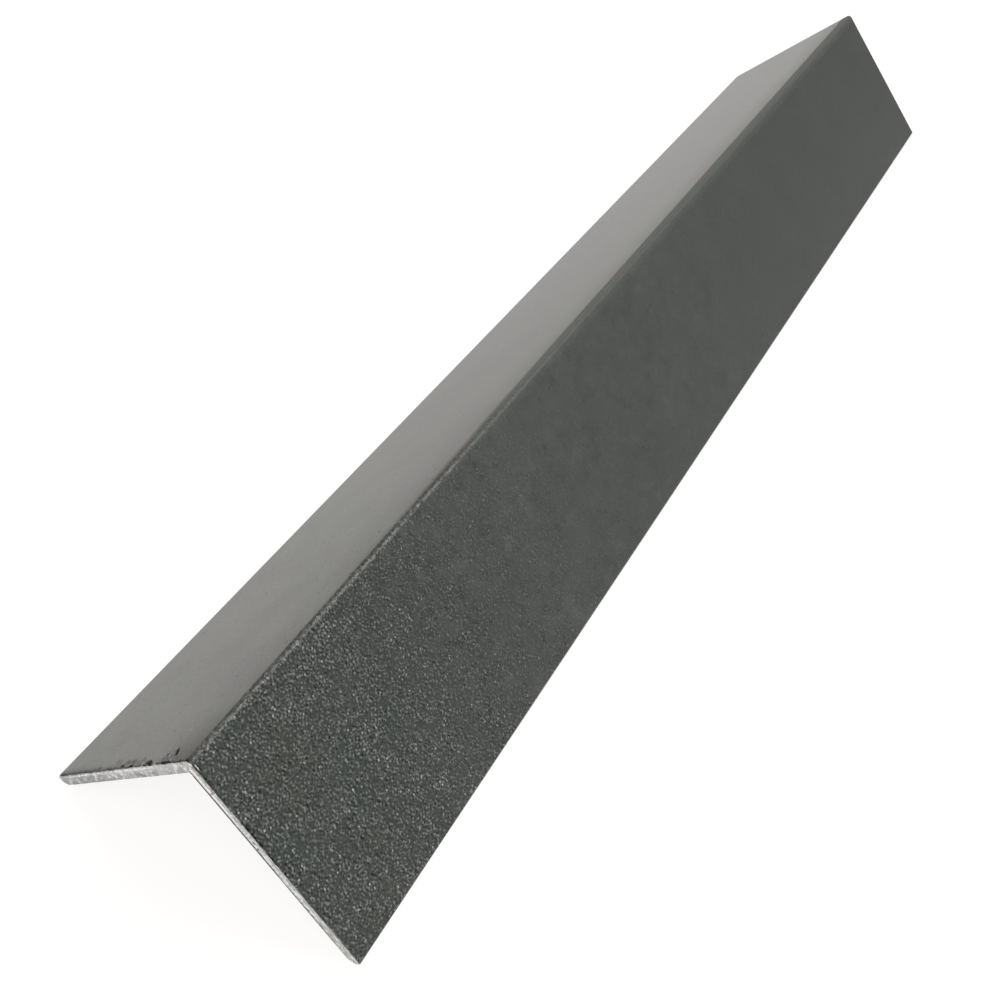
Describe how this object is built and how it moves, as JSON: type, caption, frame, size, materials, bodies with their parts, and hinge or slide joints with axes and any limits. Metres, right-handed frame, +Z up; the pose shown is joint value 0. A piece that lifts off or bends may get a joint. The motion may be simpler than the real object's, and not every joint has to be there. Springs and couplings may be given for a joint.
{
  "type": "metal angle section",
  "caption": "Equal-leg aluminium angle section with a fine-textured dark grey coat and bare sawn ends, for framing, edging and bracketing.",
  "frame": {"origin": "on the floor, under the middle of the ridge: halfway along the length and midway between the toes", "axes": "+X along the length, +Z up through the ridge, +Y towards the left toe as seen from the -X end looking along +X"},
  "size_m": [0.3, 0.0564, 0.0288],
  "materials": {
    "coated_metal": "matt fine-textured powder coat in dark grey on the long faces, bare sawn aluminium on the two ends"
  },
  "bodies": {
    "root": {"angle_section": "coated_metal"}
  },
  "joints": []
}
